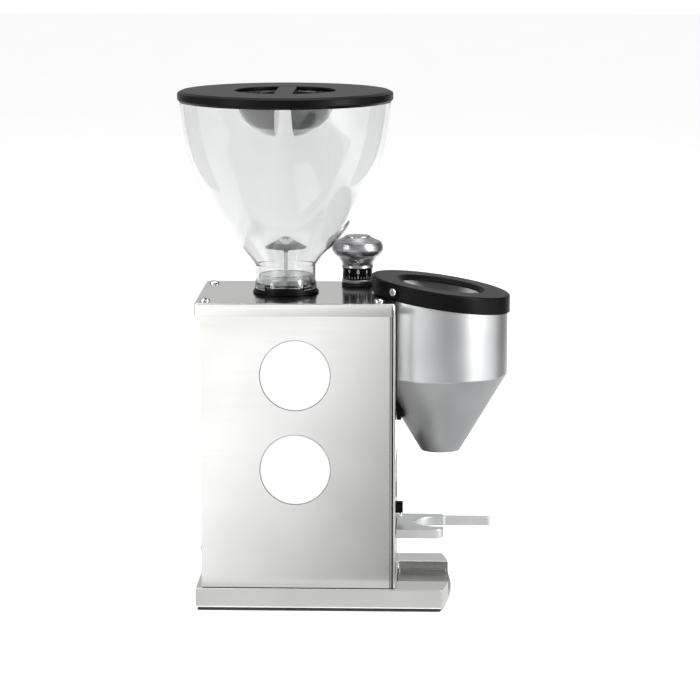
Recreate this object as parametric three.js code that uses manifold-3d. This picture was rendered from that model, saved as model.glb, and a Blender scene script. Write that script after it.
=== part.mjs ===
// Compact espresso grinder with flat burrs, a bean hopper, a dosing funnel and a portafilter fork.
// Millimetres. +Z is up, -Y is the front where the portafilter goes, +X is the user's right.
// The origin lies on the worktop under the burr axis.
import * as THREE from 'three';
import { mergeVertices } from 'three/addons/utils/BufferGeometryUtils.js';
import Module from 'manifold-3d';

const wasm = await Module();
wasm.setup();

// ---------------------------------------------------------------- driving dimensions
const GAP = 0.3; // clearance between pieces that touch
const LOOSE = 0.5; // clearance round pieces that slide or turn
const PAST = 1; // how far a cutting tool runs past the face it cuts

const BASE = { half: 61, rear: 66.2, front: -120.4, bow: 7.1, bottom: 2.4, top: 17.4, wall: 3 };
const TRAY = { half: 32.5, rear: -86.4, floor: 7.7, sheet: 1, wall: 3.5, lip: 1.2 };
const CASE = { half: 58.4, rear: 61.6, front: -80.9, bottom: 17.7, top: 225.7, sheet: 1.5 };
const DISC = { radius: 26.8, y: -9.7, heights: [108.7, 180.6] };
const PANEL = { front: -82.4, back: -81.2 };
const FASCIA = { front: -84.9, back: -83.4, half: 58 };
const COVER = { half: 60.9, rear: 65.6, front: -85, bottom: 226, top: 235.6, sheet: 1.5, corner: 3 };
const SCREWS = [[-46, 58.5], [46, 58.5], [-46.5, -72.5], [46.5, -72.5]];
const REAR = { half: 46.1, sheet: 1.2, slotHalf: 30, slotHeight: 2.6, slots: 9, slotPitch: 9, firstSlot: 120 };
const DISPLAY = { half: 22, z: [80, 110] };
const POST = { inner: 41, outer: 51, front: [-79, -68], rear: [50, 59.8], rail: 5 };

const MOTOR = { radius: 43, bottom: 50, top: 149.7, wall: 2.4, shaft: 6, stator: [72.3, 112] };
const BEARING = { radius: 11, height: 6.8 };
const SLOT = { count: 6, radii: [24, 34], half: 4.6 };
const CORE = { radius: 24.4, z: [74, 110] };
const FAN = { radius: 36, hub: 13.5, bottom: 125, height: 11, disc: 1.6, blades: 6 };
const CHAMBER = { radius: 40, bore: 33, plate: [150, 155], floor: 160, top: 226 };
const BURR = { radius: 25, eye: 12.5, height: 6, lower: 176, gap: 0.8, grooves: 12 };
const CHUTE = { half: 12, z: [164, 188], wall: 1.6, front: -90.6 };
const GEAR = { module: 2, ringTeeth: 54, pinionTeeth: 12, z: [226.8, 232.4] };

const KNOB = { x: 38.5, y: -53.6, radius: 20, foot: 12, crown: 10.5, bottom: 250, top: 274.6 };
const FLANGE = { radius: 12.1, spigot: 5.6, bore: 4.4, top: 240.9 };
const DIAL = { radius: 11.5, bore: 4.3, bottom: 241.2 };
const SPINDLE = { radius: 4, hole: 4.4 };
const NECK = { radius: 23.4, spigot: 20.8, seat: 241.3, bottom: 226.5 };
const COLLAR = { lip: 25.2, radius: 24, bottom: 225, lipTop: 237.1 };
const GUARD = { cap: 16, apex: 279.4, eaves: 271, stem: 1.6, ring: [18.4, 20.8], z: [243.2, 250], bar: 3 };
const HOPPER = { rim: 80.3, top: 381.6, wall: 2.2 };
const LID = { radius: 81.9, bottom: 382, top: 390, hole: 38.4, bar: 7, spigot: 76.4, sheet: 3 };

const SCOOP = { radius: 38, inner: 36.4, flange: 43, floor: 355.6, slit: 5.6, rib: 7.2 };

const FUNNEL = { y: -118.6, radius: 50.9, outlet: 15, bottom: 114, shoulder: 174, wall: 2, back: -85.7 };
const CAP = { radius: 52.7, hole: 31, centre: 242.6, tilt: 8.44, rim: 13, sheet: 4, skirt: 1.5 };
const CAP_SCREW = { x: 39.5, y: 35.2, z: 241.5, shank: 1.5, head: 2.75 };
const BRACKET = { half: 22, front: -88.9, back: -85.2, bottom: 139.5, top: 224 };
const FORK = { z: [49.6, 56.7], half: 28.9, front: -121.5, notch: 16.5, root: -115.4, tip: -157.7 };
const FINGER = { inner: 18, outer: 23 };
const BOLT = { x: 20, shank: 2.2, hole: 2.5, head: 4.2, headHeight: 3.5, reach: -97.5 };
const PLUNGER = { z: 68, radius: 4.8, reach: -90 };
const INLET = { x: 20, z: 33, flange: [15.4, 12.4], body: [13.5, 9.8], cavity: [12, 8.2] };
const ROCKER = { x: -20, z: 33, pivot: 57, tilt: 6, bezel: [8.4, 12.8], body: [6.7, 11.2], hole: [5.4, 10] };

// ---------------------------------------------------------------- finishes
const finish = (color, roughness, metalness) => ({ color, roughness, metalness });
const STEEL = finish(0xd4d4d2, 0.25, 1);
const ALUMINIUM = finish(0xb4b5b6, 0.42, 1);
const BLACK_PLASTIC = finish(0x1c1c1e, 0.5, 0);
const CLEAR_PLASTIC = finish(0xe4e8ea, 0.08, 0);
const SMOKED_PLASTIC = finish(0x6d7174, 0.15, 0);
const WHITE_LACQUER = finish(0xf6f6f4, 0.3, 0);
const RUBBER = finish(0x202022, 0.8, 0);
const COPPER = finish(0xb06a3c, 0.35, 1);
const GREEN_BOARD = finish(0x1f6b45, 0.5, 0);

// ---------------------------------------------------------------- solids
// The index list without the faces that collapse at a pole, turned outwards.
function outwardFaces(index, corners) {
  const faces = [];
  let volume = 0;
  for (let i = 0; i < index.length; i += 3) {
    const [a, b, c] = [index[i], index[i + 1], index[i + 2]];
    if (a === b || b === c || c === a) continue;
    faces.push(a, b, c);
    const [p, q, r] = [a, b, c].map((k) => new THREE.Vector3().fromArray(corners, 3 * k));
    volume += p.dot(q.cross(r));
  }
  return volume > 0 ? faces : faces.reverse();
}

function toManifold(geometry) {
  const bare = geometry.clone();
  bare.deleteAttribute('normal');
  bare.deleteAttribute('uv');
  const merged = mergeVertices(bare, 1e-4);
  const vertProperties = Float32Array.from(merged.getAttribute('position').array);
  const triVerts = Uint32Array.from(outwardFaces(merged.index.array, vertProperties));
  return new wasm.Manifold(new wasm.Mesh({ numProp: 3, vertProperties, triVerts }));
}

function toGeometry(body) {
  const mesh = body.getMesh();
  const geometry = new THREE.BufferGeometry();
  geometry.setAttribute('position', new THREE.BufferAttribute(mesh.vertProperties, 3));
  geometry.setIndex(new THREE.BufferAttribute(mesh.triVerts, 1));
  return geometry;
}

function cut(blank, ...tools) {
  return toGeometry(tools.reduce((body, tool) => body.subtract(toManifold(tool)), toManifold(blank)));
}

function join(first, ...others) {
  return toGeometry(others.reduce((body, other) => body.add(toManifold(other)), toManifold(first)));
}

function common(first, second) {
  return toGeometry(toManifold(first).intersect(toManifold(second)));
}

function box(x, y, z) {
  const block = new THREE.BoxGeometry(x[1] - x[0], y[1] - y[0], z[1] - z[0]);
  return block.translate((x[0] + x[1]) / 2, (y[0] + y[1]) / 2, (z[0] + z[1]) / 2);
}

function rod(radius, z, sides = 16) {
  const cylinder = new THREE.CylinderGeometry(radius, radius, z[1] - z[0], sides);
  return cylinder.rotateX(Math.PI / 2).translate(0, 0, (z[0] + z[1]) / 2);
}

// A rod along Y.
function barrel(radius, y, sides = 14) {
  return new THREE.CylinderGeometry(radius, radius, y[1] - y[0], sides).translate(0, (y[0] + y[1]) / 2, 0);
}

// A piece turned about Z from (radius, height) points. A profile off the axis closes on itself.
function turned(points, segments = 24) {
  const profile = points.map(([r, z]) => new THREE.Vector2(r, z));
  if (points[0][0] > 0) profile.push(profile[0].clone());
  return new THREE.LatheGeometry(profile, segments).rotateX(Math.PI / 2);
}

const tube = (inner, outer, z, segments) =>
  turned([[inner, z[0]], [outer, z[0]], [outer, z[1]], [inner, z[1]]], segments);

function outline(points) {
  return new THREE.Shape(points.map(([u, v]) => new THREE.Vector2(u, v)));
}

function roundedRect(u, v, radius) {
  const shape = new THREE.Shape();
  shape.moveTo(u[0] + radius, v[0]);
  shape.lineTo(u[1] - radius, v[0]);
  shape.absarc(u[1] - radius, v[0] + radius, radius, -Math.PI / 2, 0, false);
  shape.lineTo(u[1], v[1] - radius);
  shape.absarc(u[1] - radius, v[1] - radius, radius, 0, Math.PI / 2, false);
  shape.lineTo(u[0] + radius, v[1]);
  shape.absarc(u[0] + radius, v[1] - radius, radius, Math.PI / 2, Math.PI, false);
  shape.lineTo(u[0], v[0] + radius);
  shape.absarc(u[0] + radius, v[0] + radius, radius, Math.PI, Math.PI * 1.5, false);
  return shape;
}

function extruded(shape, depth, curveSegments) {
  return new THREE.ExtrudeGeometry(shape, { depth, bevelEnabled: false, curveSegments });
}

// A flat piece drawn in X and Y.
function slab(shape, z, curveSegments = 6) {
  return extruded(shape, z[1] - z[0], curveSegments).translate(0, 0, z[0]);
}

// A flat piece drawn in X and Z, its thickness along Y.
function upright(shape, y, curveSegments = 6) {
  return extruded(shape, y[1] - y[0], curveSegments).rotateX(Math.PI / 2).translate(0, y[1], 0);
}

// A flat piece drawn in Y and Z, its thickness along X.
function wall(shape, x, curveSegments = 6) {
  const turn = new THREE.Matrix4().makeBasis(
    new THREE.Vector3(0, 1, 0), new THREE.Vector3(0, 0, 1), new THREE.Vector3(1, 0, 0));
  return extruded(shape, x[1] - x[0], curveSegments).applyMatrix4(turn).translate(x[0], 0, 0);
}

// Copies of a piece spaced evenly round the Z axis.
function around(count, make, start = 0) {
  return Array.from({ length: count }, (_, i) => make().rotateZ(start + (i * 2 * Math.PI) / count));
}

function part(name, geometry, look) {
  const mesh = new THREE.Mesh(toGeometry(toManifold(geometry)), new THREE.MeshStandardMaterial(look));
  mesh.name = name;
  return mesh;
}

// Meshes held together at one place.
function assembly(x, y, z, ...children) {
  const group = new THREE.Group();
  group.position.set(x, y, z);
  return group.add(...children);
}

const mirrored = (side, span) => (side > 0 ? span : [-span[1], -span[0]]);

// ---------------------------------------------------------------- base
// The plan of the base, pulled in by an inset, with its bowed front edge.
function baseOutline(inset, half = BASE.half) {
  const side = half - inset;
  const front = BASE.front + inset;
  const radius = (BASE.half ** 2 + BASE.bow ** 2) / (2 * BASE.bow);
  const centre = BASE.front - BASE.bow + radius;
  const shape = new THREE.Shape();
  const reach = Math.asin(side / radius);
  shape.moveTo(side, BASE.rear - inset);
  shape.lineTo(-side, BASE.rear - inset);
  shape.absarc(0, centre + front - BASE.front, radius, -Math.PI / 2 - reach, -Math.PI / 2 + reach, false);
  return shape;
}

function basePlinth() {
  const body = slab(baseOutline(0), [BASE.bottom, BASE.top], 16);
  const inside = BASE.half - BASE.wall - 1;
  const floor = TRAY.floor - TRAY.sheet - GAP;
  return cut(
    body,
    box([-inside, inside], [CASE.front, BASE.rear - BASE.wall - 1], [BASE.bottom - 1, BASE.top - BASE.wall]),
    box([-TRAY.half - LOOSE, TRAY.half + LOOSE], [BASE.front - 20, TRAY.rear + LOOSE], [floor, BASE.top + 1]));
}

function groundsTray() {
  const top = TRAY.floor + TRAY.wall;
  const inner = TRAY.half - TRAY.sheet;
  const front = BASE.front - BASE.bow;
  const lip = front + 1.8;
  return cut(
    slab(baseOutline(0.6, TRAY.half + 0.6), [TRAY.floor - TRAY.sheet, top], 10),
    box([-BASE.half, BASE.half], [TRAY.rear, BASE.rear + 1], [0, top + 1]),
    box([-inner, inner], [lip + 1, TRAY.rear - TRAY.sheet], [TRAY.floor, top + 1]),
    box([-BASE.half, BASE.half], [front - 1, lip + 2.5], [TRAY.floor + TRAY.lip, top + 1]));
}

function baseAssembly() {
  return assembly(0, 0, 0,
    part('base_mat', slab(baseOutline(1.4), [0, BASE.bottom - GAP], 16), RUBBER),
    part('base_plinth', basePlinth(), STEEL),
    part('grounds_tray', groundsTray(), STEEL));
}

// ---------------------------------------------------------------- case
function sidePanel(side) {
  const height = [CASE.bottom, CASE.top];
  const outer = CASE.half;
  const inner = CASE.half - CASE.sheet;
  const sheet = wall(roundedRect([CASE.front, CASE.rear], height, 0.5), mirrored(side, [inner, outer]), 1);
  const rearFlange = box(mirrored(side, [46.4, inner + 0.5]), [CASE.rear - CASE.sheet, CASE.rear], height);
  const frontFlange = box(mirrored(side, [50, inner + 0.5]), [CASE.front, CASE.front + CASE.sheet], height);
  const holes = DISC.heights.map((z) =>
    rod(DISC.radius, [-100, 100], 32).rotateY(Math.PI / 2).translate(0, DISC.y, z));
  const half = box(mirrored(side, [0, 100]), [-100, 100], [0, 300]);
  return cut(join(sheet, rearFlange, frontFlange), ...holes.map((hole) => common(hole, half)));
}

// A lacquered plate behind the side panel, with two discs that stand in the round cut-outs.
function sideInlay(side) {
  const back = CASE.half - CASE.sheet - GAP;
  const plate = roundedRect([DISC.y - 31, DISC.y + 31], [DISC.heights[0] - 32, DISC.heights[1] + 32], 8);
  const discs = DISC.heights.map((z) =>
    rod(DISC.radius - GAP, mirrored(side, [back - 0.5, CASE.half - 0.7]), 32)
      .rotateY(Math.PI / 2).translate(0, DISC.y, z));
  return join(wall(plate, mirrored(side, [back - 1.7, back]), 3), ...discs);
}

function rearPanel() {
  const { half, sheet, slotHalf, slotHeight, slots, slotPitch, firstSlot } = REAR;
  const through = [CASE.rear - 10, CASE.rear + 10];
  const louvres = Array.from({ length: slots }, (_, i) => {
    const low = firstSlot + slotPitch * i;
    return box([-slotHalf, slotHalf], through, [low, low + slotHeight]);
  });
  const windows = [INLET, ROCKER].map(({ x, z, body: [halfWidth, halfHeight] }) =>
    box([x - halfWidth - GAP, x + halfWidth + GAP], through, [z - halfHeight - GAP, z + halfHeight + GAP]));
  return cut(
    box([-half, half], [CASE.rear - sheet, CASE.rear], [CASE.bottom, CASE.top]), ...windows, ...louvres);
}

// The holes that the inner front panel and the fascia share.
function frontHoles() {
  const chute = CHUTE.half + GAP;
  const through = [-90, -78];
  const boltHeight = (FORK.z[0] + FORK.z[1]) / 2;
  const bolts = [-BOLT.x, BOLT.x].map((x) => barrel(BOLT.hole, through, 12).translate(x, 0, boltHeight));
  return [
    box([-chute, chute], through, [CHUTE.z[0] - GAP, CHUTE.z[1] + GAP]),
    barrel(PLUNGER.radius + GAP, through).translate(0, 0, PLUNGER.z),
    ...bolts,
  ];
}

function frontPanel() {
  return cut(box([-CASE.half, CASE.half], [PANEL.front, PANEL.back], [CASE.bottom, CASE.top]), ...frontHoles());
}

function frontFascia() {
  return cut(
    box([-FASCIA.half, FASCIA.half], [FASCIA.front, FASCIA.back], [CASE.bottom, CASE.top]),
    box([-DISPLAY.half, DISPLAY.half], [-90, -80], DISPLAY.z),
    ...frontHoles());
}

function displayGlass() {
  const half = DISPLAY.half - GAP;
  const height = [DISPLAY.z[0] + GAP, DISPLAY.z[1] - GAP];
  return upright(roundedRect([-half, half], height, 1.5), [FASCIA.front - 0.6, PANEL.front - GAP], 3);
}

function topCover() {
  const { half, rear, front, bottom, top, sheet, corner } = COVER;
  const screwHoles = SCREWS.map(([x, y]) => rod(1.9, [top - 5, top + 5], 12).translate(x, y, 0));
  return cut(
    slab(roundedRect([-half, half], [front, rear], corner), [bottom, top], 3),
    slab(roundedRect([sheet - half, half - sheet], [front + sheet, rear - sheet], corner - sheet),
      [bottom - 1, top - sheet], 2),
    rod(NECK.radius - 0.4, [top - 5, top + 5], 28),
    rod(6, [top - 5, top + 5]).translate(KNOB.x, KNOB.y, 0),
    ...screwHoles);
}

// One side of the inner frame: two posts on a rail, each with a block on top for a cover screw.
function sideFrame(side) {
  const head = COVER.top - COVER.sheet - GAP;
  const width = mirrored(side, [POST.inner, POST.outer]);
  const blockWidth = mirrored(side, [POST.inner - 0.5, POST.outer + 1]);
  const blockHeight = [CASE.top + 0.5, head];
  const [frontEdge, rearEdge] = [POST.front[0], POST.rear[1]];
  const screwHoles = SCREWS.filter(([x]) => x * side > 0).map(([x, y]) =>
    rod(1.9, [head - 12, head + 5], 12).translate(x, y, 0));
  return cut(
    join(
      box(width, [frontEdge, rearEdge], [CASE.bottom, CASE.bottom + POST.rail]),
      box(width, POST.front, [CASE.bottom, head]),
      box(width, POST.rear, [CASE.bottom, head]),
      box(blockWidth, [frontEdge, POST.front[1] + 0.5], blockHeight),
      box(blockWidth, [POST.rear[0], rearEdge + 3.6], blockHeight)),
    ...screwHoles);
}

function coverScrew() {
  const seat = COVER.top + GAP;
  return turned([[0, seat - 9], [1.6, seat - 9], [1.6, seat], [4.1, seat], [4, seat + 0.8], [2.6, seat + 1.5],
    [0, seat + 1.6]], 12);
}

function caseAssembly() {
  const corners = ['rear_left', 'rear_right', 'front_left', 'front_right'];
  const screws = SCREWS.map(([x, y], i) => {
    const screw = part(`cover_screw_${corners[i]}`, coverScrew(), STEEL);
    screw.position.set(x, y, 0);
    return screw;
  });
  return assembly(0, 0, 0,
    part('side_panel_left', sidePanel(-1), STEEL),
    part('side_panel_right', sidePanel(1), STEEL),
    part('side_inlay_left', sideInlay(-1), WHITE_LACQUER),
    part('side_inlay_right', sideInlay(1), WHITE_LACQUER),
    part('rear_panel', rearPanel(), STEEL),
    part('front_panel', frontPanel(), STEEL),
    part('front_fascia', frontFascia(), STEEL),
    part('display_glass', displayGlass(), BLACK_PLASTIC),
    part('top_cover', topCover(), STEEL),
    part('side_frame_left', sideFrame(-1), STEEL),
    part('side_frame_right', sideFrame(1), STEEL),
    ...screws);
}

// ---------------------------------------------------------------- motor
// An end bell drawn from its closed end, with the bearing seat inside. Up is +1 for the top bell.
function motorBell(end, rim, up) {
  const { radius, wall: sheet, shaft } = MOTOR;
  const z = (depth) => end - up * depth;
  const seat = BEARING.radius + GAP;
  return turned([
    [shaft + 0.9, z(0)], [radius, z(0)], [radius, rim], [radius - sheet, rim], [radius - sheet, z(3.5)],
    [seat + 2.7, z(3.5)], [seat + 2.7, z(11.7)], [seat, z(11.7)], [seat, z(4.3)], [shaft + 0.9, z(4.3)]], 22);
}

function bearing(bottom) {
  return tube(MOTOR.shaft + GAP, BEARING.radius, [bottom, bottom + BEARING.height], 16);
}

function stator() {
  const [low, high] = MOTOR.stator;
  const slots = around(SLOT.count, () => box(SLOT.radii, [-SLOT.half, SLOT.half], [low - 1, high + 1]));
  return cut(tube(25, MOTOR.radius, [low, high], 24), ...slots);
}

// Two end rings of wire joined by the bundles that lie in the stator slots.
function windings() {
  const [low, high] = MOTOR.stator;
  const rings = [[low - 10, low - 0.4], [high + 0.4, high + 10]].map((z) => tube(27.2, 38, z, 20));
  const bundles = around(SLOT.count, () => box([27.6, 33.4], [-4.1, 4.1], [low - 5, high + 5]));
  return join(...rings, ...bundles);
}

function rotorShaft() {
  const seat = BURR.lower - GAP;
  return turned([[0, 51], [5, 51], [MOTOR.shaft, 52], [MOTOR.shaft, seat], [4, seat], [4, seat + 6],
    [0, seat + 6]], 14);
}

function coolingFan() {
  const { radius, hub, bottom, height, disc } = FAN;
  const blades = around(FAN.blades, () =>
    box([hub - 0.5, radius], [-0.8, 0.8], [bottom + 1, bottom + height - 1]));
  const sleeve = tube(MOTOR.shaft + GAP, hub, [bottom, bottom + height], 16);
  return join(sleeve, tube(hub - 1.5, radius, [bottom, bottom + disc], 24), ...blades);
}

function motorAssembly() {
  const topBearing = MOTOR.top - 4.6 - BEARING.height;
  return assembly(0, 0, 0,
    part('motor_bell_top', motorBell(MOTOR.top, MOTOR.stator[1] + GAP, 1), ALUMINIUM),
    part('motor_bell_bottom', motorBell(MOTOR.bottom, MOTOR.stator[0] - GAP, -1), ALUMINIUM),
    part('motor_stator', stator(), STEEL),
    part('stator_windings', windings(), COPPER),
    part('bearing_top', bearing(topBearing), STEEL),
    part('bearing_bottom', bearing(MOTOR.bottom + 4.6), STEEL),
    part('rotor_core', tube(MOTOR.shaft + GAP, CORE.radius, CORE.z, 20), STEEL),
    part('rotor_shaft', rotorShaft(), STEEL),
    part('cooling_fan', coolingFan(), BLACK_PLASTIC));
}

// ---------------------------------------------------------------- grinding head
// The cast body: a flange that the motor hangs from, a cup for the burrs and an ear for the spindle.
function grindChamber() {
  const { radius, bore, plate, floor, top } = CHAMBER;
  const flange = slab(roundedRect([-54, 54], [-78.4, 59.6], 4), plate, 2);
  const cup = rod(radius, [plate[1] - 1, top], 32);
  const reach = Math.hypot(KNOB.x, KNOB.y);
  const port = CHUTE.half - CHUTE.wall;
  const earHeight = [top - 8, top];
  const ear = join(box([radius - 3, reach], [-8, 8], earHeight), rod(9, earHeight).translate(reach, 0, 0))
    .rotateZ(Math.atan2(KNOB.y, KNOB.x));
  const notches = SCREWS.map(([x, y]) =>
    box(mirrored(Math.sign(x), [40.6, 60]), y > 0 ? [49.6, 70] : [-90, -67.1], [plate[0] - 1, plate[1] + 1]));
  return cut(
    join(flange, cup, ear),
    rod(bore, [floor, top + 1], 28),
    rod(MOTOR.shaft + 0.9, [plate[0] - 1, floor + 1]),
    rod(SPINDLE.hole, [top - 9, top + PAST]).translate(KNOB.x, KNOB.y, 0),
    box([-port, port], [-radius - 5, -20], [CHUTE.z[0] + CHUTE.wall, CHUTE.z[1] - CHUTE.wall]),
    ...notches);
}

function lowerBurrCarrier() {
  const top = BURR.lower - GAP;
  const disc = turned([
    [MOTOR.shaft + GAP, 162], [13, 162], [13, 167], [30, 169], [30, top], [MOTOR.shaft + GAP, top]]);
  const vanes = around(3, () => box([12, 32.2], [-2.5, 2.5], [161.5, 171]));
  return cut(join(disc, ...vanes), rod(MOTOR.shaft + GAP, [150, 200]));
}

// A flat burr with slanting grooves in the face that is at height z.
function burr(bottom, face) {
  const ring = tube(BURR.eye, BURR.radius, [bottom, bottom + BURR.height], 24);
  const grooves = around(BURR.grooves, () => box([9, 30], [3, 5], [face - 1.2, face + 1.2]));
  return cut(ring, ...grooves);
}

function carrierNut() {
  const low = BURR.lower;
  return cut(rod(9, [low, low + 5.4], 6), rod(4.3, [low - 1, low + 7]));
}

function upperBurrCarrier() {
  const low = BURR.lower + 2 * BURR.height + BURR.gap + GAP;
  return turned([
    [14, low], [32.3, low], [32.3, low + 7], [24.4, low + 7], [24.4, 222], [20, 222], [14, low + 11]]);
}

// Plan of a gear with straight-sided teeth. A tooth stands at the angle phase.
function gearShape(teeth, phase) {
  const pitch = (GEAR.module * teeth) / 2;
  const root = pitch - 1.3 * GEAR.module;
  const tip = pitch + 0.85 * GEAR.module;
  const points = [];
  for (let i = 0; i < teeth; i += 1) {
    const middle = phase + (i * 2 * Math.PI) / teeth;
    const corners = [[root, -1.7], [tip, -0.6], [tip, 0.6], [root, 1.7]];
    for (const [radius, offset] of corners) {
      const angle = middle + offset / radius;
      points.push([radius * Math.cos(angle), radius * Math.sin(angle)]);
    }
  }
  return outline(points);
}

function adjustingRing() {
  const mesh = Math.atan2(KNOB.y, KNOB.x) + Math.PI / GEAR.ringTeeth;
  const rim = slab(gearShape(GEAR.ringTeeth, mesh), GEAR.z);
  const skirt = rod(CHAMBER.bore - 0.8, [CHAMBER.top - 26, GEAR.z[0] + 1], 28);
  return cut(join(rim, skirt), rod(25, [CHAMBER.top - 30, GEAR.z[1] + 1], 28));
}

function groundsChute() {
  const { half, z, wall: sheet, front } = CHUTE;
  const inner = half - sheet;
  return cut(
    box([-half, half], [front, -30], z),
    box([-inner, inner], [front - 1, -20], [z[0] + sheet, z[1] - sheet]),
    rod(CHAMBER.radius + 0.4, [z[0] - 1, z[1] + 1], 40));
}

function grindingAssembly() {
  const upper = BURR.lower + BURR.height + BURR.gap;
  return assembly(0, 0, 0,
    part('grind_chamber', grindChamber(), ALUMINIUM),
    part('lower_burr_carrier', lowerBurrCarrier(), ALUMINIUM),
    part('lower_burr', burr(BURR.lower, BURR.lower + BURR.height), STEEL),
    part('carrier_nut', carrierNut(), STEEL),
    part('upper_burr', burr(upper, upper), STEEL),
    part('upper_burr_carrier', upperBurrCarrier(), ALUMINIUM),
    part('adjusting_ring', adjustingRing(), ALUMINIUM),
    part('grounds_chute', groundsChute(), STEEL));
}

// ---------------------------------------------------------------- grind adjuster
function adjustKnob() {
  const { radius, foot, crown, bottom, top } = KNOB;
  const [waist, shoulder] = [bottom + 2, top - 7.6];
  const flare = new THREE.EllipseCurve(radius, waist, radius - foot, 9.5, Math.PI, Math.PI / 2, true);
  const dome = new THREE.EllipseCurve(crown, shoulder, radius - crown, top - shoulder, 0, Math.PI / 2, false);
  const side = [...flare.getPoints(4), ...dome.getPoints(3)].map((p) => [p.x, p.y]);
  return turned([
    [0, top - 10], [DIAL.bore, top - 10], [DIAL.bore, bottom], [foot, bottom], ...side, [0, top]], 26);
}

function adjustingPinion() {
  const mesh = Math.atan2(KNOB.y, KNOB.x) + Math.PI;
  return cut(
    slab(gearShape(GEAR.pinionTeeth, mesh), GEAR.z), rod(DIAL.bore, [GEAR.z[0] - PAST, GEAR.z[1] + PAST]));
}

function knobFlange() {
  const seat = COVER.top + GAP;
  const { radius, spigot, bore, top } = FLANGE;
  return turned([
    [bore, seat - 2.7], [spigot, seat - 2.7], [spigot, seat], [radius, seat], [radius, top], [bore, top]], 20);
}

function adjusterAssembly() {
  return assembly(KNOB.x, KNOB.y, 0,
    part('knob_flange', knobFlange(), STEEL),
    part('dial_ring', tube(DIAL.bore, DIAL.radius, [DIAL.bottom, KNOB.bottom - GAP], 24), BLACK_PLASTIC),
    part('adjust_knob', adjustKnob(), ALUMINIUM),
    part('knob_spindle', rod(SPINDLE.radius, [CHAMBER.top - 8, KNOB.top - 10.5], 14), STEEL),
    part('adjusting_pinion', adjustingPinion(), STEEL));
}

// ---------------------------------------------------------------- hopper
function hopperShell() {
  const { wall: sheet, rim, top } = HOPPER;
  const bell = new THREE.SplineCurve([[NECK.radius, 257], [37.7, 273.8], [59, 305], [73.7, 342], [rim, top]]
    .map(([r, z]) => new THREE.Vector2(r, z)));
  const outer = bell.getPoints(7).map((p) => [p.x, p.y]);
  const inner = outer.map(([r, z]) => [r - sheet, z]).reverse();
  const { radius, spigot, seat, bottom } = NECK;
  return turned([
    [spigot - 2, bottom], [spigot, bottom], [spigot, seat], [radius, seat],
    ...outer, ...inner, [radius - sheet, seat + 1.3], [spigot - 2, seat + 1.3]], 32);
}

// The umbrella that keeps the weight of the beans off the burrs, on its ring in the neck.
function beanGuard() {
  const { cap, apex, eaves, stem, ring, z, bar } = GUARD;
  const foot = z[1] - 2;
  const umbrella = turned([[0, apex], [2.5, apex - 0.8], [cap, eaves], [cap, eaves - 1.2], [2.5, apex - 3],
    [2.4, eaves - 3], [stem, eaves - 3.4], [stem, foot], [0, foot]], 16);
  const reach = (ring[0] + ring[1]) / 2 - 0.1;
  return join(umbrella, tube(...ring, z, 24), box([-reach, reach], [-2, 2], [z[1] - bar, z[1]]));
}

function hopperCollar() {
  const { lip, radius, bottom, lipTop } = COLLAR;
  const bore = NECK.spigot + 0.4;
  const spigot = NECK.radius - 0.8;
  const seat = COVER.top + GAP;
  return turned([[bore, bottom], [spigot, bottom], [spigot, seat], [lip, seat], [lip, lipTop],
    [radius, lipTop + GAP], [radius, NECK.seat - GAP], [bore, NECK.seat - GAP]]);
}

function hopperLid() {
  const { radius, bottom, top, hole, bar } = LID;
  const { spigot, sheet } = LID;
  const ring = turned([
    [hole, top - sheet], [spigot - 2, top - sheet], [spigot - 2, bottom - 4], [spigot, bottom - 4],
    [spigot, bottom], [radius, bottom], [radius, top - 1.5], [radius - 1.5, top], [hole, top]], 40);
  return join(ring, box([-hole - 1, hole + 1], [-bar, bar], [top - sheet, top]));
}

// Two finger scoops in one moulding: a bowl split by the gap under the bar of the lid.
function lidScoops() {
  const { radius, inner, flange, floor, slit, rib } = SCOOP;
  const top = LID.top - LID.sheet - GAP;
  const brow = top - 8;
  const wall = radius - inner;
  const bowl = new THREE.EllipseCurve(0, brow, radius, brow - floor, -Math.PI / 2, 0, false);
  const hollow = new THREE.EllipseCurve(0, brow, inner, brow - wall - floor, -Math.PI / 2, 0, false);
  const [outside, inside] = [bowl, hollow].map((curve) => curve.getPoints(5).map((p) => [p.x, p.y]));
  const shell = turned([...outside, [radius, top - 2], [flange, top - 2], [flange, top], [0, top]], 28);
  const cavity = turned([...inside, [inner, top + PAST], [0, top + PAST]], 28);
  const wide = [-flange - 10, flange + 10];
  return cut(
    shell,
    cut(cavity, box(wide, [-rib, rib], [floor - 50, top + 20])),
    box(wide, [-slit, slit], [floor - 50, top - 2]),
    box([-inner, inner], [-slit, slit], [floor - 50, top + 20]));
}

function hopperAssembly() {
  return assembly(0, 0, 0,
    part('hopper_collar', hopperCollar(), BLACK_PLASTIC),
    part('hopper', hopperShell(), CLEAR_PLASTIC),
    part('bean_guard', beanGuard(), CLEAR_PLASTIC),
    part('hopper_lid', hopperLid(), BLACK_PLASTIC),
    part('lid_scoops', lidScoops(), SMOKED_PLASTIC));
}

// ---------------------------------------------------------------- dosing funnel
// A slab parallel to the slanted cap, between two heights measured on the funnel's axis.
function slanted(z) {
  return box([-90, 90], [-90, 90], [z[0] - CAP.centre, z[1] - CAP.centre])
    .rotateX(THREE.MathUtils.degToRad(CAP.tilt)).translate(0, 0, CAP.centre);
}

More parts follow.
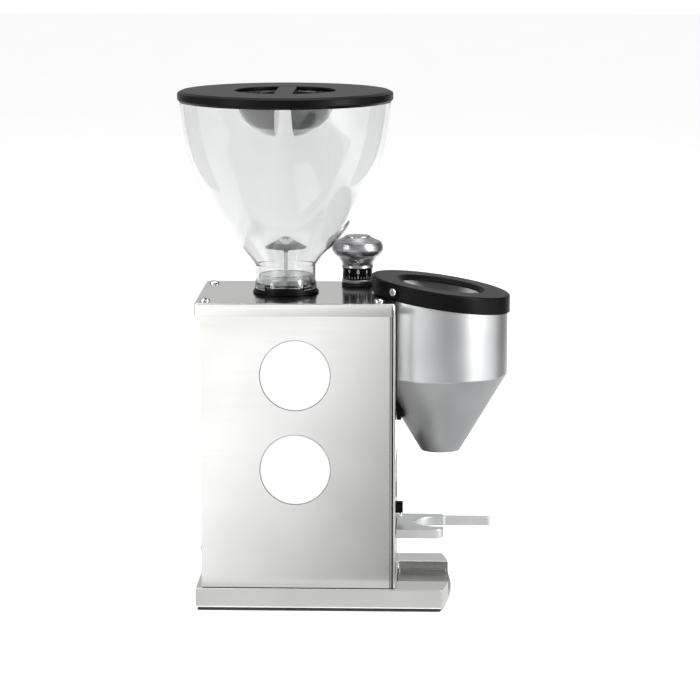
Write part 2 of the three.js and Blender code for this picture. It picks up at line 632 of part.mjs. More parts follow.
function dosingFunnel() {
  const { radius, outlet, bottom, shoulder, wall: sheet, y } = FUNNEL;
  const back = FUNNEL.back - y;
  const outer = turned([[0, bottom], [outlet, bottom], [radius, shoulder], [radius, 262], [0, 262]], 40);
  const inner = turned([[0, bottom - 1], [outlet - sheet - 0.6, bottom - 1], [radius - sheet, shoulder + 0.6],
    [radius - sheet, 270], [0, 270]], 40);
  const slot = BRACKET.half + 0.4;
  return cut(
    outer,
    common(inner, box([-60, 60], [-60, back - sheet], [0, 300])),
    box([-60, 60], [back, 60], [0, 300]),
    slanted([CAP.centre - CAP.sheet - GAP, CAP.centre + 60]),
    box([-slot, slot], [back - sheet - 2, back + 1], [0, BRACKET.top + 0.4]),
    ...capScrewHoles());
}

function funnelCap() {
  const { radius, hole, centre, rim, sheet } = CAP;
  const blank = common(rod(radius, [200, 280], 44), slanted([centre - rim, centre]));
  const coverClearance = box([-60, 60], [COVER.front - GAP - FUNNEL.y, 60], [0, COVER.top + GAP]);
  const inside = common(rod(radius - CAP.skirt, [150, 280], 44), slanted([centre - 60, centre - sheet]));
  return cut(blank, inside, rod(hole, [150, 280], 32), coverClearance, ...capScrewHoles());
}

// Turns a piece made along +X from the cap's axis to the place of a side screw.
function toCapRim(geometry, side) {
  return geometry.rotateZ(Math.atan2(CAP_SCREW.y, side * CAP_SCREW.x)).translate(0, 0, CAP_SCREW.z);
}

function radialRod(radius, x) {
  return rod(radius, x, 12).rotateY(Math.PI / 2);
}

function capScrewHoles() {
  return [-1, 1].map((side) => toCapRim(radialRod(1.8, [45, 60]), side));
}

function capScrew(side) {
  const reach = CAP.radius + GAP;
  const { shank, head } = CAP_SCREW;
  return toCapRim(join(radialRod(shank, [reach - 6, reach + 0.5]), radialRod(head, [reach, reach + 1.8])), side);
}

function funnelBracket() {
  const { half, front, back, bottom, top } = BRACKET;
  const chute = CHUTE.half + GAP;
  return cut(
    upright(roundedRect([-half, half], [bottom, top], 6), [front, back], 4),
    box([-chute, chute], [-95, -80], [CHUTE.z[0] - GAP, CHUTE.z[1] + GAP]));
}

function portafilterFork() {
  const { z, half, front, notch, root, tip } = FORK;
  const shape = new THREE.Shape();
  shape.moveTo(-half, FASCIA.front - GAP);
  shape.lineTo(-half, front + 7);
  shape.absarc(-half + 7, front + 7, 7, Math.PI, Math.PI * 1.5, false);
  shape.lineTo(-notch, front);
  shape.lineTo(-notch, root);
  shape.absarc(0, root, notch, Math.PI, 0, true);
  shape.lineTo(notch, front);
  const round = (FINGER.outer - FINGER.inner) / 2;
  shape.lineTo(FINGER.inner, front - 1);
  shape.lineTo(FINGER.inner, tip + round);
  shape.absarc(FINGER.inner + round, tip + round, round, Math.PI, 0, false);
  shape.lineTo(FINGER.outer, front);
  shape.absarc(half - 5, front + 5, 5, -Math.PI / 2, 0, false);
  shape.lineTo(half, FASCIA.front - GAP);
  const bores = [-BOLT.x, BOLT.x].map((x) =>
    barrel(BOLT.hole, [BOLT.reach - 1.5, -80], 12).translate(x, 0, (z[0] + z[1]) / 2));
  return cut(slab(shape, z, 10), ...bores);
}

function forkBolt() {
  const seat = PANEL.back + GAP;
  return join(
    barrel(BOLT.head, [seat, seat + BOLT.headHeight], 6), barrel(BOLT.shank, [BOLT.reach, PANEL.back + 1], 12));
}

function frontAssembly() {
  const cap = [
    part('dosing_funnel', dosingFunnel(), ALUMINIUM),
    part('funnel_cap', funnelCap(), BLACK_PLASTIC),
    part('cap_screw_left', capScrew(-1), STEEL),
    part('cap_screw_right', capScrew(1), STEEL),
  ];
  const bolts = [['left', -BOLT.x], ['right', BOLT.x]].map(([name, x]) => {
    const bolt = part(`fork_bolt_${name}`, forkBolt(), STEEL);
    bolt.position.set(x, 0, (FORK.z[0] + FORK.z[1]) / 2);
    return bolt;
  });
  return assembly(0, 0, 0,
    assembly(0, FUNNEL.y, 0, ...cap),
    part('funnel_bracket', funnelBracket(), BLACK_PLASTIC),
    part('portafilter_fork', portafilterFork(), ALUMINIUM),
    ...bolts);
}

// ---------------------------------------------------------------- electrical parts
function startPlunger() {
  const flange = barrel(6.4, [PANEL.back + GAP, PANEL.back + 1.8]);
  const button = barrel(PLUNGER.radius, [PLUNGER.reach, PANEL.back + 1]);
  return join(button, flange, barrel(2.5, [PANEL.back + 1, -76], 16));
}

function inletSocket() {
  const { x, z } = INLET;
  const seat = CASE.rear + GAP;
  const span = ([halfWidth, halfHeight]) => [[x - halfWidth, x + halfWidth], [z - halfHeight, z + halfHeight]];
  const flange = upright(roundedRect(...span(INLET.flange), 2), [seat, seat + 2], 3);
  const [width, height] = span(INLET.body);
  const body = box(width, [41, seat + 0.6], height);
  const cavity = upright(roundedRect(...span(INLET.cavity), 3), [46, 70], 3);
  const pins = [[-7, -2], [0, 2], [7, -2]].map(([dx, dz]) =>
    box([x + dx - 1, x + dx + 1], [45, 57.5], [z + dz - 2, z + dz + 2]));
  return join(cut(join(flange, body), cavity), ...pins);
}

function switchHousing() {
  const { x, z } = ROCKER;
  const seat = CASE.rear + GAP;
  const span = ([halfWidth, halfHeight]) => [[x - halfWidth, x + halfWidth], [z - halfHeight, z + halfHeight]];
  const bezel = upright(roundedRect(...span(ROCKER.bezel), 1.5), [seat, seat + 1.5], 3);
  const [width, height] = span(ROCKER.body);
  const [holeWidth, holeHeight] = span(ROCKER.hole);
  return cut(join(bezel, box(width, [44, seat + 0.6], height)), box(holeWidth, [50, 70], holeHeight));
}

// The rocker, tipped to its off position, about a pivot along X.
function powerRocker() {
  const face = outline([
    [-4.5, 0], [-1, -7.5], [6, -8.6], [7.4, -8.6], [5.8, 0], [7.4, 8.6], [6, 8.6], [-1, 7.5]]);
  return wall(face, [-4.9, 4.9]).rotateX(THREE.MathUtils.degToRad(-ROCKER.tilt));
}

function controlBoard() {
  const board = box([-34, 34], [-78.6, -77], [84, 148]);
  const relays = [[-22, 96], [4, 96], [-10, 126]].map(([x, z]) => box([x, x + 18], [-77.5, -66], [z, z + 16]));
  return join(board, ...relays);
}

function electricalAssembly() {
  const plunger = part('start_plunger', startPlunger(), BLACK_PLASTIC);
  plunger.position.z = PLUNGER.z;
  const rocker = part('power_rocker', powerRocker(), BLACK_PLASTIC);
  rocker.position.set(ROCKER.x, ROCKER.pivot, ROCKER.z);
  return assembly(0, 0, 0,
    plunger,
    part('start_switch', box([-6, 6], [-72.4, -62], [58, 78]), BLACK_PLASTIC),
    part('inlet_socket', inletSocket(), BLACK_PLASTIC),
    part('switch_housing', switchHousing(), BLACK_PLASTIC),
    rocker,
    part('control_board', controlBoard(), GREEN_BOARD),
    part('run_capacitor', rod(13.5, [-32, 32], 20).rotateY(Math.PI / 2).translate(0, -55, 34), WHITE_LACQUER));
}

const grinder = assembly(0, 0, 0,
  baseAssembly(),
  caseAssembly(),
  motorAssembly(),
  grindingAssembly(),
  adjusterAssembly(),
  hopperAssembly(),
  frontAssembly(),
  electricalAssembly());

export default grinder;
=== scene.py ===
from math import atan2, cos, pi, radians, sin, tan

import bmesh
import bpy
from mathutils import Matrix, Vector


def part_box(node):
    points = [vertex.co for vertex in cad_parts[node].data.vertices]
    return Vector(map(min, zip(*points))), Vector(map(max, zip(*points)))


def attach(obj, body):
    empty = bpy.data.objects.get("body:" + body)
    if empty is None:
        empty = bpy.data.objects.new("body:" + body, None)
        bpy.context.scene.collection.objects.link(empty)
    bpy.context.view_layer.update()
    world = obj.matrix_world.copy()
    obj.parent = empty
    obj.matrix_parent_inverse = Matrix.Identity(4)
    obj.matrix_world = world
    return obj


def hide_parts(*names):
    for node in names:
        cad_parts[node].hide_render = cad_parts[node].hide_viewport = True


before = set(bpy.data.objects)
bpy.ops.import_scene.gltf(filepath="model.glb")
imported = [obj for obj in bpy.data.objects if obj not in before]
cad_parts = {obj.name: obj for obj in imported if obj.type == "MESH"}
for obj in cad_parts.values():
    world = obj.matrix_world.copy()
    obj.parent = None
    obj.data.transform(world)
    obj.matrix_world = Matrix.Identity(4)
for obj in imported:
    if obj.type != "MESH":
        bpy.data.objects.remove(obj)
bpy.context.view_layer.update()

# ---------------------------------------------------------------- studio
# A table of white acrylic lit from below, a white wall behind it, and three soft boxes. Five cards,
# which only reflections see, shade the steel and draw its edges.


def linear(code):
    """A colour written as #rrggbb, turned linear."""
    parts = [int(code[i:i + 2], 16) / 255 for i in (1, 3, 5)]
    return tuple(c / 12.92 if c <= 0.04045 else ((c + 0.055) / 1.055) ** 2.4 for c in parts) + (1.0,)


def add(tree, kind, sockets=None, **settings):
    """A node with its settings. A socket takes a value or another node's output."""
    made = tree.nodes.new(kind)
    for name, value in settings.items():
        setattr(made, name, value)
    for name, value in (sockets or {}).items():
        if isinstance(value, bpy.types.NodeSocket):
            tree.links.new(value, made.inputs[name])
        else:
            made.inputs[name].default_value = value
    return made


def new_material(name, **sockets):
    """A named material, its node tree and its shader, with the shader's own numbers set."""
    made = bpy.data.materials.new(name)
    made.use_nodes = True
    shader = made.node_tree.nodes["Principled BSDF"]
    for socket, value in sockets.items():
        shader.inputs[socket.replace("_", " ")].default_value = value
    return made, made.node_tree, shader


def lit_acrylic():
    """White acrylic lit from below: matt and even, with a faint mottle."""
    made, tree, shader = new_material("lit_acrylic", Roughness=0.8, Emission_Strength=0.42)
    place = add(tree, "ShaderNodeTexCoord")
    mottle = add(tree, "ShaderNodeTexNoise", {"Vector": place.outputs["Object"], "Scale": 6.0})
    tint = add(tree, "ShaderNodeValToRGB", {"Fac": mottle.outputs["Fac"]})
    tint.color_ramp.elements[0].color = linear("#f3f3f3")
    tint.color_ramp.elements[1].color = linear("#f7f7f7")
    tree.links.new(tint.outputs["Color"], shader.inputs["Base Color"])
    tree.links.new(tint.outputs["Color"], shader.inputs["Emission Color"])
    return made


def even_card(glow):
    """A card that glows evenly."""
    return new_material("even_card", Roughness=1.0, Base_Color=(0, 0, 0, 1), Emission_Color=(1, 1, 1, 1),
                        Emission_Strength=glow)[0]


def faded_card(along, across, middle):
    """A card whose glow changes by `along` for each metre of X and by `across` for each of Y."""
    made, tree, shader = new_material("faded_card", Roughness=1.0, Base_Color=(0, 0, 0, 1),
                                      Emission_Color=(1, 1, 1, 1))
    place = add(tree, "ShaderNodeTexCoord")
    parts = add(tree, "ShaderNodeSeparateXYZ", {"Vector": place.outputs["Object"]})
    over_y = add(tree, "ShaderNodeMath", {0: parts.outputs["Y"], 1: across, 2: middle},
                 operation="MULTIPLY_ADD")
    over_both = add(tree, "ShaderNodeMath", {0: parts.outputs["X"], 1: along, 2: over_y.outputs[0]},
                    operation="MULTIPLY_ADD")
    kept = add(tree, "ShaderNodeClamp", {"Value": over_both.outputs[0], "Min": 0.12, "Max": 1.5})
    tree.links.new(kept.outputs["Result"], shader.inputs["Emission Strength"])
    return made


def stage_plane(name, material, *ends):
    """A flat stage piece through four corners in metres."""
    bm = bmesh.new()
    bm.faces.new([bm.verts.new(end) for end in ends])
    mesh = bpy.data.meshes.new(name)
    bm.to_mesh(mesh)
    bm.free()
    mesh.materials.append(material)
    made = bpy.data.objects.new(name, mesh)
    bpy.context.collection.objects.link(made)
    return made


def level(x, y, z):
    """Four corners of a level rectangle."""
    return (x[0], y[0], z), (x[1], y[0], z), (x[1], y[1], z), (x[0], y[1], z)


def upright(start, end, height):
    """Four corners of a card that stands on the table between two points of its plan."""
    return (*start, 0), (*end, 0), (*end, height), (*start, height)


def soft_box(name, size, place, target, power):
    """A rectangular light that faces its target. Places are in metres."""
    light = bpy.data.lights.new(name, "AREA")
    light.shape = "RECTANGLE"
    light.size, light.size_y = size
    light.energy = power
    made = bpy.data.objects.new(name, light)
    made.location = place
    made.rotation_euler = (Vector(target) - Vector(place)).to_track_quat("-Z", "Y").to_euler()
    bpy.context.collection.objects.link(made)
    return made


stage_plane("floor", lit_acrylic(), *level((-9, 9), (-9, 9), -0.0004))
CARDS = (
    ("side_card", faded_card(-0.33, 5.3, 0.80), level((-1.75, -0.135), (-1.0, 1.2), 0.004)),
    ("foot_card", even_card(0.82), level((-0.135, 0.4), (-0.5, 0.3), 0.0035)),
    ("fork_card", even_card(1.4), level((-0.5, -0.19), (-0.3, -0.1), 0.005)),
    ("front_flag", even_card(0.12), upright((0.10, -0.50), (1.1, -0.80), 0.9)),
    ("rear_flag", even_card(0.40), upright((0.10, 0.50), (1.1, 0.80), 0.9)))
for name, material, ends in CARDS:
    card = stage_plane(name, material, *ends)
    card.visible_camera = False
    card.visible_diffuse = False
    card.visible_transmission = False
    card.visible_shadow = False

# The wall is pure white to the eye and through the clear hopper, and dimmer in reflections.
world = bpy.data.worlds.new("studio")
bpy.context.scene.world = world
world.use_nodes = True
tree = world.node_tree
sight = add(tree, "ShaderNodeLightPath")
seen = add(tree, "ShaderNodeMath", {
    0: sight.outputs["Is Camera Ray"], 1: sight.outputs["Is Transmission Ray"]}, operation="MAXIMUM")
wall = add(tree, "ShaderNodeMapRange", {"Value": seen.outputs[0], "To Min": 0.62, "To Max": 1.05})
tree.links.new(wall.outputs["Result"], tree.nodes["Background"].inputs["Strength"])
tree.nodes["Background"].inputs["Color"].default_value = linear("#ffffff")
bpy.context.scene.view_settings.view_transform = "Standard"

soft_box("overhead_box", (1.5, 1.5), (0.2, 0.1, 1.8), (0, 0, 0.2), 14)
soft_box("rear_side_box", (0.7, 1.2), (-1.2, 1.5, 0.9), (0, 0, 0.25), 24)
soft_box("front_side_box", (0.45, 1.3), (-0.7, -1.35, 0.75), (0, -0.1, 0.2), 30)

# The camera stands level with the left side panel and looks down on it by nine degrees.
CAMERA_PLACE = Vector((-2.2202, -0.1245, 0.5587))
CAMERA_TURN = radians(1.947)
CAMERA_DIP = radians(9.403)
camera = bpy.data.objects.new("camera", bpy.data.cameras.new("camera"))
camera.location = CAMERA_PLACE
camera.data.lens = 150.9
camera.data.sensor_width = 36
aim = Vector((cos(CAMERA_TURN) * cos(CAMERA_DIP), sin(CAMERA_TURN) * cos(CAMERA_DIP), -sin(CAMERA_DIP)))
camera.rotation_euler = aim.to_track_quat("-Z", "Y").to_euler()
bpy.context.collection.objects.link(camera)
bpy.context.scene.camera = camera

# ---------------------------------------------------------------- base
# The plinth is thick steel plate, ground and polished, with a channel milled for the tray. It
# stands on a mat of black rubber. The tray is folded from brushed sheet and lies in the channel.

MM = 0.001


def grained(tree, shader, across, along, rough, depth):
    """Grinding lines that run along one axis: fine noise stretched to `along` mm on that axis and
    `across` mm on the others, which drives the roughness and a shallow bump."""
    place = add(tree, "ShaderNodeTexCoord")
    stretch = [1 / (MM * across)] * 3
    stretch["xyz".index(along[0])] = 1 / (MM * along[1])
    scaled = add(tree, "ShaderNodeMapping", {"Vector": place.outputs["Object"], "Scale": stretch})
    lines = add(tree, "ShaderNodeTexNoise", {
        "Vector": scaled.outputs["Vector"], "Scale": 1.0, "Detail": 3.0, "Roughness": 0.6})
    gloss = add(tree, "ShaderNodeMapRange", {
        "Value": lines.outputs["Fac"], "From Min": 0.3, "From Max": 0.7,
        "To Min": rough[0], "To Max": rough[1]})
    relief = add(tree, "ShaderNodeBump", {
        "Height": lines.outputs["Fac"], "Strength": 0.5, "Distance": depth * MM})
    tree.links.new(gloss.outputs["Result"], shader.inputs["Roughness"])
    tree.links.new(relief.outputs["Normal"], shader.inputs["Normal"])
    return place


def clouded(tree, shader, place, size, dark, light):
    """A base colour that drifts between two tones over patches of `size` mm."""
    patches = add(tree, "ShaderNodeTexNoise", {
        "Vector": place.outputs["Object"], "Scale": 1 / (size * MM), "Detail": 2.0})
    tone = add(tree, "ShaderNodeValToRGB", {"Fac": patches.outputs["Fac"]})
    tone.color_ramp.elements[0].position = 0.35
    tone.color_ramp.elements[1].position = 0.65
    tone.color_ramp.elements[0].color = linear(dark)
    tone.color_ramp.elements[1].color = linear(light)
    tree.links.new(tone.outputs["Color"], shader.inputs["Base Color"])


def polished_steel():
    """Stainless sheet, ground then polished: it mirrors its neighbours softly, and the lines of
    the last belt (about 0.1 mm, drawn 0.7 mm wide so that they show) run front to back."""
    made, tree, shader = new_material("polished_stainless_steel", Metallic=1.0)
    place = grained(tree, shader, 0.7, ("y", 90), (0.10, 0.17), 0.004)
    clouded(tree, shader, place, 60, "#cfcfcd", "#d6d6d4")
    return made


def brushed_steel():
    """Stainless sheet left with its brushed grain, which spreads highlights across the lines."""
    made, tree, shader = new_material("brushed_stainless_steel", Metallic=1.0)
    place = grained(tree, shader, 0.8, ("x", 70), (0.26, 0.38), 0.010)
    clouded(tree, shader, place, 50, "#9d9d9b", "#a8a8a6")
    return made


def grainy(tree, shader, grain, rough, depth):
    """A fine pebbled surface with grains of `grain` mm, for blasted, cast and moulded finishes."""
    place = add(tree, "ShaderNodeTexCoord")
    pebbles = add(tree, "ShaderNodeTexNoise", {
        "Vector": place.outputs["Object"], "Scale": 1 / (grain * MM), "Detail": 4.0, "Roughness": 0.6})
    gloss = add(tree, "ShaderNodeMapRange", {
        "Value": pebbles.outputs["Fac"], "From Min": 0.3, "From Max": 0.7,
        "To Min": rough[0], "To Max": rough[1]})
    relief = add(tree, "ShaderNodeBump", {
        "Height": pebbles.outputs["Fac"], "Strength": 0.5, "Distance": depth * MM})
    tree.links.new(gloss.outputs["Result"], shader.inputs["Roughness"])
    tree.links.new(relief.outputs["Normal"], shader.inputs["Normal"])
    return place


def black_rubber():
    """Moulded rubber: dull, almost black, with a dusty bloom in patches."""
    made, tree, shader = new_material("black_rubber", Metallic=0.0)
    place = grainy(tree, shader, 0.9, (0.72, 0.88), 0.03)
    clouded(tree, shader, place, 12, "#141415", "#1e1e20")
    return made


def copied(node):
    """The mesh of a CAD node as one skin, with flat areas as single faces."""
    bm = bmesh.new()
    bm.from_mesh(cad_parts[node].data)
    bmesh.ops.remove_doubles(bm, verts=bm.verts, dist=0.002 * MM)
    bmesh.ops.dissolve_limit(bm, angle_limit=radians(0.4), verts=bm.verts, edges=bm.edges)
    return bm


def ease(bm, width, segments=3, angle=28, where=None):
    """Rounds the sharp edges, or those of them that `where` picks, to a width in mm."""
    sharp = [e for e in bm.edges if e.is_manifold and e.calc_face_angle() > radians(angle)]
    if where:
        sharp = [e for e in sharp if where((e.verts[0].co + e.verts[1].co) / 2 / MM)]
    bmesh.ops.bevel(bm, geom=sharp, offset=width * MM, offset_type="OFFSET", segments=segments,
                    profile=0.5, affect="EDGES", clamp_overlap=True, material=-1)


def piece(name, bm, material, body, stands_for=(), wall=0):
    """Turns a bmesh into an object of the grinder, smooth between its sharp edges. A skin gets a
    wall of that many mm on its inner side."""
    bmesh.ops.remove_doubles(bm, verts=bm.verts, dist=0.001 * MM)
    bmesh.ops.dissolve_degenerate(bm, edges=bm.edges, dist=0.0005 * MM)
    bmesh.ops.recalc_face_normals(bm, faces=bm.faces)
    mesh = bpy.data.meshes.new(name)
    bm.to_mesh(mesh)
    bm.free()
    mesh.polygons.foreach_set("use_smooth", [True] * len(mesh.polygons))
    mesh.set_sharp_from_angle(angle=radians(34))
    mesh.materials.append(material)
    made = bpy.data.objects.new(name, mesh)
    bpy.context.collection.objects.link(made)
    if wall:
        shell = made.modifiers.new("wall", "SOLIDIFY")
        shell.thickness = wall * MM
        shell.offset = -1
        shell.use_even_offset = True
    made.modifiers.new("even_normals", "WEIGHTED_NORMAL").keep_sharp = True
    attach(made, body)
    if stands_for:
        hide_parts(*stands_for)
    return made


def refined(node, name, material, body, width=0.4, segments=2):
    """A CAD node of the right shape, given eased edges."""
    bm = copied(node)
    ease(bm, width, segments)
    return piece(name, bm, material, body, [node])


POLISHED = polished_steel()
BRUSHED = brushed_steel()
RUBBER = black_rubber()
refined("base_plinth", "polished_plinth", POLISHED, "case", 0.9, 3)
refined("base_mat", "rubber_mat", RUBBER, "case", 0.5)
refined("grounds_tray", "folded_tray", BRUSHED, "tray", 0.3)

# ---------------------------------------------------------------- side panels
# Each side is one sheet of polished steel with two round windows cut through it. A plate lacquered
# white is clipped behind it, and its two raised discs almost fill the windows.


def disc_edge(bm, u, v, radius, count=96):
    """A circle of edges in X and Y."""
    bmesh.ops.create_circle(bm, cap_ends=False, segments=count, radius=radius * MM,
                            matrix=Matrix.Translation((u * MM, v * MM, 0)))


def box_edge(bm, u, v, radius=0, steps=6):
    """A rectangle of edges in X and Y with round corners."""
    middle = Matrix.Translation(((u[0] + u[1]) / 2 * MM, (v[0] + v[1]) / 2 * MM, 0))
    spread = Matrix.Diagonal(((u[1] - u[0]) * MM, (v[1] - v[0]) * MM, 1, 1))
    sheet = bmesh.ops.create_grid(bm, x_segments=1, y_segments=1, size=0.5, matrix=middle @ spread)["verts"]
    if radius:
        bmesh.ops.bevel(bm, geom=sheet, offset=radius * MM, offset_type="OFFSET", segments=steps,
                        profile=0.5, affect="VERTICES", material=-1)
    bmesh.ops.delete(bm, geom=bm.faces[:], context="FACES_ONLY")


def plate(bm, height):
    """Fills the drawn loops, leaving the inner ones as holes, and pulls the face up to a plate."""
    bmesh.ops.triangle_fill(bm, use_beauty=True, use_dissolve=False, edges=bm.edges[:])
    bmesh.ops.dissolve_limit(bm, angle_limit=radians(0.1), verts=bm.verts, edges=bm.edges)
    made = bmesh.ops.extrude_face_region(bm, geom=bm.faces[:])
    raised = [v for v in made["geom"] if isinstance(v, bmesh.types.BMVert)]
    bmesh.ops.translate(bm, vec=(0, 0, height * MM), verts=raised)
    bmesh.ops.recalc_face_normals(bm, faces=bm.faces)


def block(bm, x, y, z, radius=0, segments=2):
    """A box with eased edges, added to the mesh."""
    spans = (x, y, z)
    middle = Vector([(low + high) / 2 * MM for low, high in spans])
    size = Matrix.Diagonal([(high - low) * MM for low, high in spans] + [1])
    made = bmesh.ops.create_cube(bm, size=1, matrix=Matrix.Translation(middle) @ size)["verts"]
    if radius:
        edges = {e for v in made for e in v.link_edges}
        bmesh.ops.bevel(bm, geom=list(edges), offset=radius * MM, offset_type="OFFSET", segments=segments,
                        profile=0.5, affect="EDGES", clamp_overlap=True, material=-1)


def merge(bm, other):
    """Adds another bmesh to this one."""
    loose = bpy.data.meshes.new("loose")
    other.to_mesh(loose)
    other.free()
    bm.from_mesh(loose)
    bpy.data.meshes.remove(loose)


# A plate is drawn in X and Y. These turn it to stand along the side or across the back.
ALONG_SIDE = Matrix(((0, 0, 1), (1, 0, 0), (0, 1, 0))).to_4x4()
ACROSS_BACK = Matrix(((1, 0, 0), (0, 0, -1), (0, 1, 0))).to_4x4()


def stand(bm, turn, place):
    """Turns a shape, then moves it to its place in mm."""
    bmesh.ops.transform(bm, matrix=Matrix.Translation(Vector(place) * MM) @ turn, verts=bm.verts)


def corners(node):
    """The lowest and highest corner of a CAD node, in mm."""
    return tuple(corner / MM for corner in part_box(node))


def white_lacquer():
    """Steel sprayed with white lacquer: clean, with a slight orange peel under the gloss."""
    made, tree, shader = new_material("white_lacquer", Metallic=0.0, Coat_Weight=0.25, Coat_Roughness=0.1)
    place = grainy(tree, shader, 1.6, (0.30, 0.38), 0.006)
    clouded(tree, shader, place, 30, "#c0c0bf", "#c6c6c5")
    return made


WHITE = white_lacquer()
WINDOW_Y = -9.7
WINDOW_HEIGHTS = (108.7, 180.6)
WINDOW_RADIUS = 26.8
SHEET = 1.5
for side, word in ((-1, "left"), (1, "right")):
    low, high = corners(f"side_panel_{word}")
    panel = bmesh.new()
    box_edge(panel, (low.y, high.y), (low.z, high.z), 0.6, 3)
    for z in WINDOW_HEIGHTS:
        disc_edge(panel, WINDOW_Y, z, WINDOW_RADIUS)
    plate(panel, SHEET)
    ease(panel, 0.25, 2)
    outer = low.x if side < 0 else high.x - SHEET
    stand(panel, ALONG_SIDE, (outer, 0, 0))
    inner = outer + SHEET if side < 0 else outer
    for y, depth in ((low.y, 6.9), (high.y - SHEET, 10.5)):
        reach = (inner, inner + depth) if side < 0 else (inner - depth, inner)
        block(panel, reach, (y, y + SHEET), (low.z, high.z), 0.2)
    piece(f"{word}_side_sheet", panel, POLISHED, "case", [f"side_panel_{word}"])

    low, high = corners(f"side_inlay_{word}")
    inlay = bmesh.new()
    box_edge(inlay, (low.y, high.y), (low.z, high.z), 8)
    plate(inlay, 1.7)
    for z in WINDOW_HEIGHTS:
        disc = bmesh.new()
        disc_edge(disc, WINDOW_Y, z, WINDOW_RADIUS - 0.35)
        plate(disc, 1.2)
        ease(disc, 0.25, 2)
        stand(disc, Matrix(), (0, 0, 1.65 if side > 0 else -1.15))
        merge(inlay, disc)
    stand(inlay, ALONG_SIDE, (low.x if side > 0 else high.x - 1.7, 0, 0))
    piece(f"{word}_window_discs", inlay, WHITE, "case", [f"side_inlay_{word}"])

# ---------------------------------------------------------------- rear panel
# A plain sheet of brushed steel between the two side flanges, with nine slots that let the motor
# breathe and square holes for the mains inlet and the power switch.

low, high = corners("rear_panel")
rear = bmesh.new()
box_edge(rear, (low.x, high.x), (low.z, high.z), 0.4, 2)
for i in range(9):
    box_edge(rear, (-30, 30), (120 + 9 * i, 122.6 + 9 * i), 1.29, 5)
inlet_low, inlet_high = corners("inlet_socket")
switch_low, switch_high = corners("switch_housing")
box_edge(rear, (inlet_low.x + 1.6, inlet_high.x - 1.6), (inlet_low.z + 2.3, inlet_high.z - 2.3))
box_edge(rear, (switch_low.x + 1.4, switch_high.x - 1.4), (switch_low.z + 1.3, switch_high.z - 1.3))
plate(rear, high.y - low.y)
ease(rear, 0.15, 1)
stand(rear, ACROSS_BACK, (0, high.y, 0))
piece("slotted_rear_panel", rear, BRUSHED, "case", ["rear_panel"])

# ---------------------------------------------------------------- front panels
# Two sheets close the front, with a narrow dark gap between them: a brushed one that belongs to
# the case and a polished fascia over it, which carries the display and the portafilter fork.


def black_glass():
    """Back-painted glass over the display: hard and glossy, with faint wiping marks."""
    made, tree, shader = new_material(
        "back_painted_glass", Metallic=0.0, Coat_Weight=0.5, Coat_Roughness=0.03)
    place = grainy(tree, shader, 14, (0.05, 0.14), 0.001)
    clouded(tree, shader, place, 25, "#08090a", "#0c0d0f")
    return made


GLASS = black_glass()
refined("front_panel", "brushed_front_panel", BRUSHED, "case", 0.2)
refined("front_fascia", "polished_fascia", POLISHED, "case", 0.3)
refined("display_glass", "display_window", GLASS, "case", 0.3, 3)

# ---------------------------------------------------------------- top cover
# A shallow lid folded from polished steel, with round corners and a skirt. It is held down by four
# socket screws, and has a large hole for the neck and a small one for the adjuster.


def socket_head(profile, key, depth, steps=48):
    """A turned screw with a hexagon socket: the profile ends at the rim of the flat top, and the
    socket is `key` mm across its corners."""
    bm = turned(profile, steps)
    top = profile[-1][1]
    rim = [e for e in bm.edges if e.is_boundary]
    hexagon = bmesh.ops.create_circle(bm, cap_ends=False, segments=6, radius=key / 2 * MM,
                                      matrix=Matrix.Translation((0, 0, top * MM)))["verts"]
    inner = list({e for v in hexagon for e in v.link_edges})
    bmesh.ops.triangle_fill(bm, use_beauty=True, use_dissolve=False, edges=rim + inner, normal=(0, 0, 1))
    walls = bmesh.ops.extrude_edge_only(bm, edges=inner)["geom"]
    foot = [v for v in walls if isinstance(v, bmesh.types.BMVert)]
    bmesh.ops.translate(bm, vec=(0, 0, -depth * MM), verts=foot)
    bmesh.ops.contextual_create(bm, geom=[e for e in walls if isinstance(e, bmesh.types.BMEdge)
                                          and all(v in foot for v in e.verts)])
    bmesh.ops.recalc_face_normals(bm, faces=bm.faces)
    return bm


def turned(profile, steps=128, closed=False):
    """A profile of (radius, height) points in mm, spun about the Z axis."""
    bm = bmesh.new()
    points = [bm.verts.new((r * MM, 0, z * MM)) for r, z in profile]
    following = points[1:] + points[:1] if closed else points[1:]
    edges = [bm.edges.new(pair) for pair in zip(points, following)]
    bmesh.ops.spin(bm, geom=points + edges, cent=(0, 0, 0), axis=(0, 0, 1), dvec=(0, 0, 0), angle=2 * pi,
                   steps=steps, use_merge=True, use_duplicate=False)
    bmesh.ops.remove_doubles(bm, verts=bm.verts, dist=0.002 * MM)
    bmesh.ops.recalc_face_normals(bm, faces=bm.faces)
    return bm


def softened(outline, steps=4):
    """An outline whose corners are rounded where a point gives a radius as its third number."""
    made = []
    for i, corner in enumerate(outline):
        here = Vector(corner[:2])
        if len(corner) == 2:
            made.append(tuple(here))
            continue
        back = (Vector(outline[i - 1][:2]) - here).normalized()
        ahead = (Vector(outline[(i + 1) % len(outline)][:2]) - here).normalized()
        half = back.angle(ahead) / 2
        middle = here + (back + ahead).normalized() * corner[2] / sin(half)
        start = here + back * corner[2] / tan(half) - middle
        end = here + ahead * corner[2] / tan(half) - middle
        for k in range(steps + 1):
            made.append(tuple(middle + start.lerp(end, k / steps).normalized() * corner[2]))
    return made


def on_outline(edge):
    """True for a loose edge of the cover's outline, and not of its two holes."""
    reach = max(abs(v.co.x) for v in edge.verts)
    front = min(v.co.y for v in edge.verts) < low.y * MM + 4 * MM
    back = max(v.co.y for v in edge.verts) > high.y * MM - 4 * MM
    return edge.is_boundary and reach > 30 * MM and (front or back or reach > high.x * MM - 0.1 * MM)


